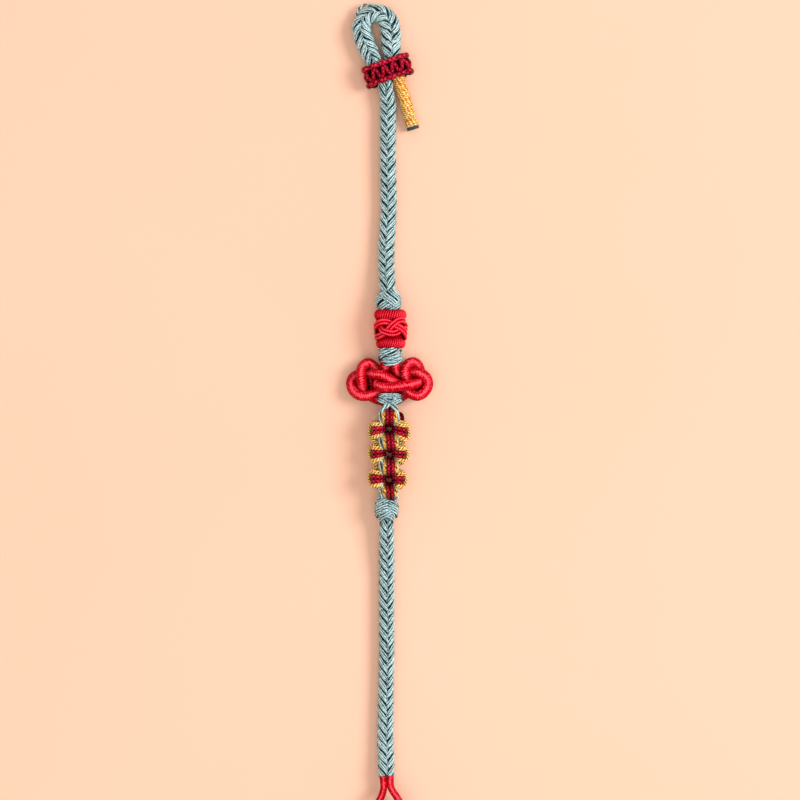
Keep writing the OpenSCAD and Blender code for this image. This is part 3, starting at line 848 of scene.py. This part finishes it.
def on_roll(rows, turn):
    """A path on the roll from rows of x and angle: 0 degrees faces the camera, 90 the large knot."""
    curve = smooth([(x, angle + turn) for x, angle in rows])
    radius = np.interp(curve[:, 0], *np.array(ROLL_OUTLINE).T)
    angle = np.radians(curve[:, 1])
    out = np.stack([np.zeros(len(curve)), np.sin(angle), np.cos(angle)], axis=1)
    points = ROLL_CENTRE + out * radius[:, None]
    points[:, 0] += curve[:, 0]
    path = evenly(np.hstack([points, out]), WOUND_SPACING)
    return path[:, :3], unit(path[:, 3:])


roll_threads = []
for rows in ROLL_BANDS:
    for turn in (0, 180):
        path, out = on_roll(rows, turn)
        roll_threads += band(path, out, 3, ROLL_THREAD_STEP, ROLL_THREAD_R)
make_piece("lower_knot_bands", roll_threads, TEAL, "teal_cord", "lower_knot")
# Painted shade: the roll's filling is dark.
core_ball("lower_knot_core", tuple(ROLL_CENTRE), size=(2.4, 1.25, 1.25), material=TEAL_SHADE,
          slot="teal_cord")

# %% [markdown]
# Each strand is three threads laid round each other. It leaves the roll near its middle, leans out
# to its own corner and hangs straight down from there.

# %% Hang the four strands
COLUMN_Z = 4.73
STRAND_X = {-1: 2.0, 1: 1.85}
STRAND_Z = 1.9
STRAND_END_Y = -18.6
STRAND_PLY_R = 0.33
STRAND_PITCH = 9.0
for side, side_name in ((-1, "left"), (1, "right")):
    for face, face_name in ((1, "front"), (-1, "back")):
        x, z = side * STRAND_X[side], COLUMN_Z + face * STRAND_Z
        route = [(0.25 + side * 0.35, 4.9, 5.5 + face * 1.4),
                 (0.2 + side * 1.2, 3.9, COLUMN_Z + 0.3 + face * 2.6),
                 (0.1 + side * 1.9, 2.8, COLUMN_Z + face * 2.5),
                 (x, 1.0, z), (x, -3, z), (x, -12, z), (x, STRAND_END_Y, z)]
        path = evenly(smooth(route), LONG_SPACING)
        name = f"strand_{face_name}_{side_name}"
        plies = twisted(path, 3, STRAND_PLY_R, STRAND_PITCH, start=side + face)
        make_piece(name + "_threads", plies, TEAL, "teal_cord", name)

# %% [markdown]
# ## The flower column
# Three crosses stand one above another. Each petal is a ribbon of two crimson cords with a twisted
# gold thread along either edge. It loops from the hole in the middle round the strands of its side.
# Bars of the same ribbon join one cross to the next in front and at the back. They were tied by
# hand, so every petal fans out and leans by its own amount, and the bars wander to the right.

# %% Helpers for ribbons
EDGE_SPACING = 0.12
EDGE_PLY_R = 0.28
EDGE_PITCH = 1.3
EDGE_OUTSIDE = 0.45
HOLE_SHADE = 0.5
HOLE_FROM = 0.1
HOLE_DEPTH = 2.5


def depth_shade(path, top):
    """Darker the further a point lies inside the column, where little light reaches a hole."""
    drop = top - np.abs(path[:, 2] - COLUMN_Z)
    return -HOLE_SHADE * np.clip(drop / HOLE_DEPTH - HOLE_FROM, 0, 1)


def gold_edge(route, ply_radius=EDGE_PLY_R, start=0.0):
    """The twisted gold thread along an edge."""
    return twisted(evenly(route, EDGE_SPACING), 2, ply_radius, EDGE_PITCH, start=start)


def make_ribbon(name, cords, edges):
    """Both pieces of a ribbon: its crimson cords, which stand for the CAD node, and its gold edges."""
    make_piece(name + "_cords", cords, CRIMSON, "crimson_cord", name)
    make_piece(name + "_edges", edges, GOLD, "gold_thread")


# %% [markdown]
# A petal's row gives its name and side, its Y and half width at the middle and at its outer end, and
# how far out it reaches. The crimson cords get painted shade where they go down into a hole.

# %% Make the petals
PETAL_HALF = 3.95
PETAL_START = 0.98
PETAL_CORD_INSET = 0.55
PETAL_EDGE_START = 1.7
PETAL_EDGE_INSET = 0.5
PETALS = [
    ("petal_left_1", -1, (-1.45, 0.75), (-1.9, 1.15), 4.45),
    ("petal_right_1", 1, (-1.4, 0.75), (-2.35, 1.3), 4.6),
    ("petal_left_2", -1, (-7.4, 0.75), (-7.75, 1.15), 4.5),
    ("petal_right_2", 1, (-7.6, 0.8), (-7.85, 1.1), 4.3),
    ("petal_left_3", -1, (-13.8, 0.85), (-13.85, 1.3), 4.55),
    ("petal_right_3", 1, (-14.1, 0.95), (-14.15, 1.1), 3.85),
]


def petal_route(side, inner, outer, reach, across, start, inset):
    """A petal's loop, from rows of distance out and depth from the column's middle. across is a share
    of the half width and a distance beyond it."""
    half, end = PETAL_HALF - inset, reach - inset
    rows = [(start, 0.6), (start + 0.15, half - 1.8), (start + 0.7, half - 0.6), (end - 1.2, half),
            (end - 0.3, half - 0.3), (end, half - 1.1), (end, 0)]
    rows += [(x, -z) for x, z in reversed(rows[:-1])]
    route = []
    for x, z in rows:
        share = (x - PETAL_START) / (end - PETAL_START)
        y = inner[0] + (outer[0] - inner[0]) * share
        width = inner[1] + (outer[1] - inner[1]) * share
        route.append((side * x, y + across[0] * width + across[1], COLUMN_Z + z, width))
    return smooth(route)


for name, side, inner, outer, reach in PETALS:
    cords, edges = [], []
    for across in (-0.5, 0.5):
        route = petal_route(side, inner, outer, reach, (across, 0), PETAL_START, PETAL_CORD_INSET)
        path = evenly(route)
        cords.append(tube(path, path[:, 3] / 2, CORD_SIDES, shade=depth_shade(path, PETAL_HALF)))
    for way in (-1, 1):
        across = (way, way * EDGE_OUTSIDE)
        route = petal_route(side, inner, outer, reach, across, PETAL_EDGE_START, PETAL_EDGE_INSET)
        edges += gold_edge(route, start=way)
    make_ribbon(name, cords, edges)

# %% [markdown]
# A bar's row gives its number, the Y of the two holes that it joins, and the X of its upper and its
# lower end. It is made once in front and once at the back.

# %% Make the bars in front and at the back
BAR_TOP = 4.7
BAR_HALF_WIDTH = 1.03
BAR_CORD_MARGIN = 0.35
BAR_CORD_INSET = 0.5
BAR_EDGE_MARGIN = 1.0
BAR_EDGE_INSET = 0.6
EDGE_TUCK = 0.05
BARS = [
    (1, 4.35, -1.0, 0.2, 0.1),
    (2, -2.0, -7.35, 0.1, 0.7),
    (3, -8.35, -13.7, 0.4, 0.5),
    (4, -14.7, -19.3, 0.05, 0.55),
]


def bar_route(top, bottom, x_top, x_bottom, face, offset, margin, inset):
    """A bar's bow from one hole to the next, sideways by an offset. The ramp is how it rises."""
    rise = BAR_TOP - inset
    low, high = bottom + margin, top - margin
    ramp = [(0.0, 0.9), (0.15, rise - 2.7), (0.7, rise - 1.4), (1.4, rise - 0.45)]
    rows = [(high - run, z) for run, z in ramp] + [((high + low) / 2, rise)]
    rows += [(low + run, z) for run, z in reversed(ramp)]
    route = []
    for y, z in rows:
        x = x_top + (x_bottom - x_top) * (top - y) / (top - bottom)
        route.append((x + offset, y, COLUMN_Z + face * z))
    return smooth(route)


for number, *bar in BARS:
    for face, face_name in ((1, "front"), (-1, "back")):
        cords, edges = [], []
        for way in (-1, 1):
            offset = way * BAR_HALF_WIDTH / 2
            path = evenly(bar_route(*bar, face, offset, BAR_CORD_MARGIN, BAR_CORD_INSET))
            # Painted shade where the bar goes down into a hole.
            shade = depth_shade(path, BAR_TOP)
            cords.append(tube(path, BAR_HALF_WIDTH / 2, CORD_SIDES, shade=shade))
            offset = way * (BAR_HALF_WIDTH + EDGE_OUTSIDE - EDGE_TUCK)
            route = bar_route(*bar, face, offset, BAR_EDGE_MARGIN, BAR_EDGE_INSET)
            edges += gold_edge(route, start=way)
        make_ribbon(f"bar_{face_name}_{number}", cords, edges)

# %% [markdown]
# The bars down the sides are the same ribbon on edge, so from the front they show one gold thread,
# which bows round the end of each petal and curls in above and below it.

# %% Make the bars down the sides
SIDE_PLY_R = 0.21
SIDE_CORD_R = 0.45
SIDE_CORD_Z = 0.5
SIDE_CORD_SHARE = 0.97
SIDE_EDGE_Z = 1.3
SIDE_BARS = [
    ("bar_left_1", [(-2.3, 0.1), (-3.3, 0.2), (-4.1, 0.0), (-4.75, -0.8), (-4.95, -1.9), (-4.8, -3.0),
                    (-4.2, -3.9), (-3.3, -4.6), (-2.3, -4.8)]),
    ("bar_left_2", [(-2.3, -5.5), (-3.3, -5.4), (-4.2, -5.7), (-4.8, -6.5), (-4.95, -7.5), (-4.8, -8.5),
                    (-4.2, -9.4), (-3.3, -10.0), (-2.3, -10.1)]),
    ("bar_left_3", [(-2.3, -10.9), (-3.3, -11.2), (-4.2, -11.9), (-4.8, -12.8), (-4.95, -13.8),
                    (-4.6, -14.9), (-3.9, -15.7), (-3.1, -16.0), (-2.3, -15.9)]),
    ("bar_right_1", [(2.3, 0.3), (3.3, 0.3), (4.1, 0.0), (4.7, -0.8), (4.95, -2.0), (4.85, -3.2),
                     (4.3, -4.2), (3.4, -4.9), (2.3, -4.9)]),
    ("bar_right_2", [(2.3, -5.8), (3.3, -5.8), (4.1, -6.2), (4.6, -7.1), (4.65, -8.0), (4.4, -8.9),
                     (3.8, -9.6), (3.1, -10.0), (2.3, -10.1)]),
    ("bar_right_3", [(2.3, -11.9), (3.2, -12.1), (3.9, -12.7), (4.2, -13.5), (4.2, -14.4), (3.9, -15.3),
                     (3.2, -16.0), (2.3, -16.1)]),
]
for name, plan in SIDE_BARS:
    cords, edges = [], []
    for way in (-1, 1):
        cord_z = COLUMN_Z + way * SIDE_CORD_Z
        path = evenly(smooth([(x * SIDE_CORD_SHARE, y, cord_z) for x, y in plan]))
        cords.append(tube(path, SIDE_CORD_R, BAND_SIDES))
        edge_z = COLUMN_Z + way * SIDE_EDGE_Z
        edges += gold_edge(smooth([(x, y, edge_z) for x, y in plan]), SIDE_PLY_R)
    make_ribbon(name, cords, edges)

# %% [markdown]
# At the top on the right, the end of one crimson cord shows where it is tucked in behind the strand.

# %% Lay the tucked cord end
TUCKED_END = [(2.1, 2.2, 3.1), (2.6, 2.3, 3.9), (3.1, 2.0, 4.4), (3.3, 1.4, 4.4), (3.3, 0.8, 4.1),
              (3.1, 0.3, 3.6)]
TUCKED_R = 0.52
# Painted shade: the tucked end is darker where it lies behind the strand.
TUCKED_SHADE = -0.25
tucked_cord = tube(evenly(smooth(TUCKED_END)), TUCKED_R, CORD_SIDES, shade=TUCKED_SHADE)
make_piece("bar_tucked_end", [tucked_cord], CRIMSON, "crimson_cord")

# %% [markdown]
# ## The collar knot
# Below the column the four strands are gathered in one more teal knot. Bands rise to the right on
# its left half and fall to the right on its right half.

# %% Tie the collar knot
COLLAR_BODY = [(-25.0, 1.3), (-24.2, 1.7), (-23.2, 2.3), (-22.2, 2.75), (-21.2, 2.8), (-20.0, 2.3),
               (-18.3, 1.8)]
COLLAR_CENTRE = (-0.6, 4.3)
COLLAR_BANDS = [
    [(-88, -21.6, 0.0), (-55, -20.8, 0.1), (-20, -19.9, 0.15), (15, -19.2, 0.0), (40, -18.6, -0.4)],
    [(-95, -23.0, -0.1), (-62, -22.3, 0.1), (-28, -21.5, 0.2), (2, -20.8, 0.1), (30, -20.2, -0.3)],
    [(-80, -24.2, -0.2), (-48, -23.6, 0.05), (-18, -22.9, 0.15), (8, -22.2, 0.1), (36, -21.6, -0.2)],
    [(-10, -20.6, -0.3), (16, -21.0, 0.2), (44, -21.6, 0.25), (72, -22.3, 0.15), (95, -22.9, 0.0)],
    [(-15, -22.3, -0.3), (10, -22.7, 0.1), (38, -23.3, 0.15), (66, -24.0, 0.1), (90, -24.5, -0.2)],
    [(20, -19.2, -0.2), (48, -19.7, 0.15), (76, -20.4, 0.15), (100, -21.0, 0.0)],
    [(-112, -20.6, -0.2), (-78, -19.9, 0.1), (-44, -19.1, 0.1), (-10, -18.5, -0.1), (15, -18.2, -0.5)],
]
tie_knot("collar_knot", COLLAR_BANDS, COLLAR_BODY, COLLAR_CENTRE, core_y=-21.7, core_size=(2.2, 2.8, 2.2))

# %% [markdown]
# ## The slider
# The slider is a band of flat knots that is bent round both cords. One crimson cord runs to and fro
# over the band's core, and the cords along both edges come up over it between their knots, which
# makes the two rows of bumps.

# %% Helpers for the slider
SLIDER_AT = np.array((-0.35, 88.0, 3.52))
SLIDER_LEAN = np.radians(19.5)
SLIDER_LENGTH = 12.5
SLIDER_HALF_WIDTH = 2.2
SLIDER_MID_R = 2.3
SLIDER_END = 3.2
KNOTS_ROUND = 11

slider_straight = SLIDER_LENGTH / 2 - SLIDER_END
slider_girth = 4 * slider_straight + FULL_TURN * SLIDER_MID_R


def on_slider(run, across, lift):
    """A point of the band and the way out of it: run goes round the band, in millimetres."""
    run = run % slider_girth
    bend = np.pi * SLIDER_MID_R
    straight = 2 * slider_straight
    if run < straight:
        centre, out = (run - slider_straight, 0), (0, 1)
    elif run < straight + bend:
        angle = (run - straight) / SLIDER_MID_R
        centre, out = (slider_straight, 0), (np.sin(angle), np.cos(angle))
    elif run < 2 * straight + bend:
        centre, out = (slider_straight - (run - straight - bend), 0), (0, -1)
    else:
        angle = (run - 2 * straight - bend) / SLIDER_MID_R
        centre, out = (-slider_straight, 0), (-np.sin(angle), -np.cos(angle))
    reach = SLIDER_MID_R + lift
    x, z = centre[0] + out[0] * reach, out[1] * reach
    c, s = np.cos(SLIDER_LEAN), np.sin(SLIDER_LEAN)
    point = SLIDER_AT + np.array((x * c - across * s, x * s + across * c, z))
    return [*point, out[0] * c, out[0] * s, out[1]]


def slider_cord(rows_of_knot, radius, sides):
    """Repeats one knot's rows of run, across, lift and thinness all the way round the band."""
    pitch = slider_girth / KNOTS_ROUND
    rows = [((n + run) * pitch, across * SLIDER_HALF_WIDTH, lift, radius - (thinner[0] if thinner else 0))
            for n in range(KNOTS_ROUND) for run, across, lift, *thinner in rows_of_knot]
    rows.append((rows[0][0] + slider_girth, *rows[0][1:]))
    curve = smooth(rows, steps=6)
    path = evenly(np.array([[*on_slider(*row[:3]), row[3]] for row in curve]))[:-1]
    return tube(path[:, :3], path[:, 6], sides, unit(path[:, 3:6]), closed=True)


# %% [markdown]
# The rows of each cord are one knot's share of the round, its place across the band from -1 to 1, its
# lift off the core, and where a fourth number stands, how much thinner it is pulled there. The lower
# edge's knots follow the upper edge's by nearly half a knot.

# %% Tie the slider band
SLIDER_CORD_R = 0.5
SLIDER_EDGE_R = 0.74
SLIDER_CORE_R = 0.42
SLIDER_CORE_LIFT = -0.05
SLIDER_CORE_PLACES = (-0.62, -0.2, 0.2, 0.62)
LOWER_EDGE_LAG = 0.45
OVER_CORD = [(0.0, 0.5, -0.1), (0.12, 0.36, 0.28), (0.2, 0.0, 0.55), (0.28, -0.36, 0.28), (0.42, -0.5, 0.0),
             (0.56, -0.5, 0.0), (0.68, -0.36, 0.28), (0.76, 0.0, 0.55), (0.84, 0.36, 0.28)]
EDGE_CORD = [(0.0, 0.94, 0.36), (0.2, 0.92, 0.28), (0.34, 0.86, 0.0, 0.12), (0.5, 0.68, -0.3, 0.26),
             (0.66, 0.86, 0.0, 0.12), (0.8, 0.92, 0.28)]
edge_below = [(run + LOWER_EDGE_LAG, -across, *rest) for run, across, *rest in EDGE_CORD]
slider_tubes = [slider_cord(OVER_CORD, SLIDER_CORD_R, BAND_SIDES),
                slider_cord(EDGE_CORD, SLIDER_EDGE_R, CORD_SIDES),
                slider_cord(edge_below, SLIDER_EDGE_R, CORD_SIDES)]
make_piece("slider_knots", slider_tubes, CRIMSON, "crimson_cord", "slider_band")
# Painted shade: the slider's core cords are dark under its knots.
slider_cores = []
for across in SLIDER_CORE_PLACES:
    core_rows = [(0.0, across, SLIDER_CORE_LIFT), (0.5, across, SLIDER_CORE_LIFT)]
    slider_cores.append(slider_cord(core_rows, SLIDER_CORE_R, BAND_SIDES))
make_piece("slider_core_cords", slider_cores, CRIMSON_SHADE, "crimson_cord")

# %% [markdown]
# ## The gold tail
# The end of the braid is bound with fine gold thread and sealed with heat. The binding is one thread
# that winds down in a close screw, over a sleeve that closes the gaps.

# %% Bind the tail
TAIL_FROM = np.array((2.05, 87.4, 3.2))
TAIL_TO = np.array((5.85, 74.3, 1.65))
TAIL_R = 1.65
TAIL_THREAD_R = 0.24
TAIL_PITCH = 0.5
TURN_STEPS = 24
SLEEVE_INSET = 0.02
SLEEVE_POINTS = 6
SLEEVE_SIDES = 24
tail_length = np.linalg.norm(TAIL_TO - TAIL_FROM)
tail_way = (TAIL_TO - TAIL_FROM) / tail_length
tail_side = unit(np.cross(tail_way, (0, 0, 1)))
tail_up = np.cross(tail_side, tail_way)

turns = (tail_length - 2 * TAIL_THREAD_R) / TAIL_PITCH
angle = np.linspace(0, FULL_TURN * turns, round(turns * TURN_STEPS))
run = TAIL_THREAD_R + angle / FULL_TURN * TAIL_PITCH
outward = np.cos(angle)[:, None] * tail_side + np.sin(angle)[:, None] * tail_up
winding = TAIL_FROM + run[:, None] * tail_way + (TAIL_R - TAIL_THREAD_R) * outward
sleeve_run = np.linspace(SLEEVE_INSET, tail_length - SLEEVE_INSET, SLEEVE_POINTS)
sleeve = TAIL_FROM + sleeve_run[:, None] * tail_way
tail_tubes = [tube(winding, TAIL_THREAD_R, THREAD_SIDES, outward),
              tube(sleeve, TAIL_R - TAIL_THREAD_R, SLEEVE_SIDES)]
make_piece("tail_winding", tail_tubes, GOLD_BINDING, "gold_thread", "tail_wrap")

# %% [markdown]
# The sealed tip is cut square and a little melted. It starts as a cylinder, its end face is inset and
# pressed in, and its edges are rounded with a bevel, as by hand.

# %% Model the sealed tip
TIP_LENGTH = 0.8
TIP_GAP = 0.06
TIP_R = TAIL_R - 0.1
TIP_INSETS = [(0.3, 0.06), (0.4, 0.08)]
TIP_ROUNDING = 0.12
END_FACE_NORMAL = 0.9
tip_middle = TAIL_TO + tail_way * (TIP_GAP + TIP_LENGTH / 2)
bpy.ops.object.select_all(action="DESELECT")
bpy.ops.mesh.primitive_cylinder_add(vertices=32, radius=TIP_R * MM, depth=TIP_LENGTH * MM)
tip = bpy.context.object
tip.name = tip.data.name = "tail_tip_sealed"
bpy.ops.object.mode_set(mode="EDIT")
bpy.ops.mesh.select_all(action="DESELECT")
bpy.ops.object.mode_set(mode="OBJECT")
for face in tip.data.polygons:
    face.select = face.normal.z > END_FACE_NORMAL
bpy.ops.object.mode_set(mode="EDIT")
for width, depth in TIP_INSETS:
    bpy.ops.mesh.inset(thickness=width * MM, depth=-depth * MM)
bpy.ops.object.mode_set(mode="OBJECT")
rounding = tip.modifiers.new("rounding", "BEVEL")
rounding.width = TIP_ROUNDING * MM
rounding.segments = 3
rounding.limit_method = "ANGLE"
bpy.ops.object.modifier_apply(modifier=rounding.name)
tip.rotation_euler = Vector(tail_way).to_track_quat("Z", "Y").to_euler()
tip.location = Vector(tip_middle) * MM
bpy.ops.object.transform_apply(location=True, rotation=True, scale=True)
bpy.ops.object.shade_smooth_by_angle(angle=0.6)
tip.data.materials.append(TEAL_SEALED)
hand_in(tip, "dark_teal_tip", "tail_tip")

# %% [markdown]
# ## The button at the far end
# Two red cords leave the braid side by side, part, and are tied into a round button knot that goes
# through the loop. The button is a ring weave on a ball: a path that goes three times round while it
# swings up and down four times.

# %% Tie the button knot
BUTTON_AT = np.array((0, -99.7, 5.3))
BUTTON_R = 5.3
BUTTON_CORD_R = 0.68
BUTTON_SWING = np.radians(60)
BUTTON_PRESS = 0.05
BUTTON_LIFT = 0.42
BUTTON_STEPS = 720
BUTTON_ROUNDS = 3
BUTTON_SWINGS = 4
NECK_CORD_R = 0.88
NECK_SPACING = 0.25
NECK_SIDES = 12
t = np.linspace(0, FULL_TURN, BUTTON_STEPS + 1)[:-1]
longitude, latitude = BUTTON_ROUNDS * t, BUTTON_SWING * np.cos(BUTTON_SWINGS * t)
lift = BUTTON_LIFT * np.sin(2 * BUTTON_SWINGS * t)
reach = BUTTON_R - BUTTON_CORD_R - BUTTON_LIFT + lift
outward = np.stack([np.cos(latitude) * np.sin(longitude), np.sin(latitude),
                    np.cos(latitude) * np.cos(longitude)], axis=1)
path = BUTTON_AT + outward * reach[:, None]
button_cords = doubled(path, outward, BUTTON_CORD_R, BUTTON_PRESS)
for side in (-1, 1):
    neck = [(-0.6 + side * 0.9, -88.1, 3.5), (-0.4 + side * 0.9, -91, 4), (side * 1.9, -93.2, 4.7),
            (side * 3, -95.2, 5.3), (side * 3.3, -97.5, 5.3)]
    button_cords.append(tube(evenly(smooth(neck), NECK_SPACING), NECK_CORD_R, NECK_SIDES))
make_piece("end_button_cords", button_cords, RED, "red_cord", "end_button")
# Painted shade: the button's filling is dark.
core_ball("end_button_core", tuple(BUTTON_AT), size=(4.0, 4.3, 4.0), material=RED_SHADE,
          slot="red_cord")
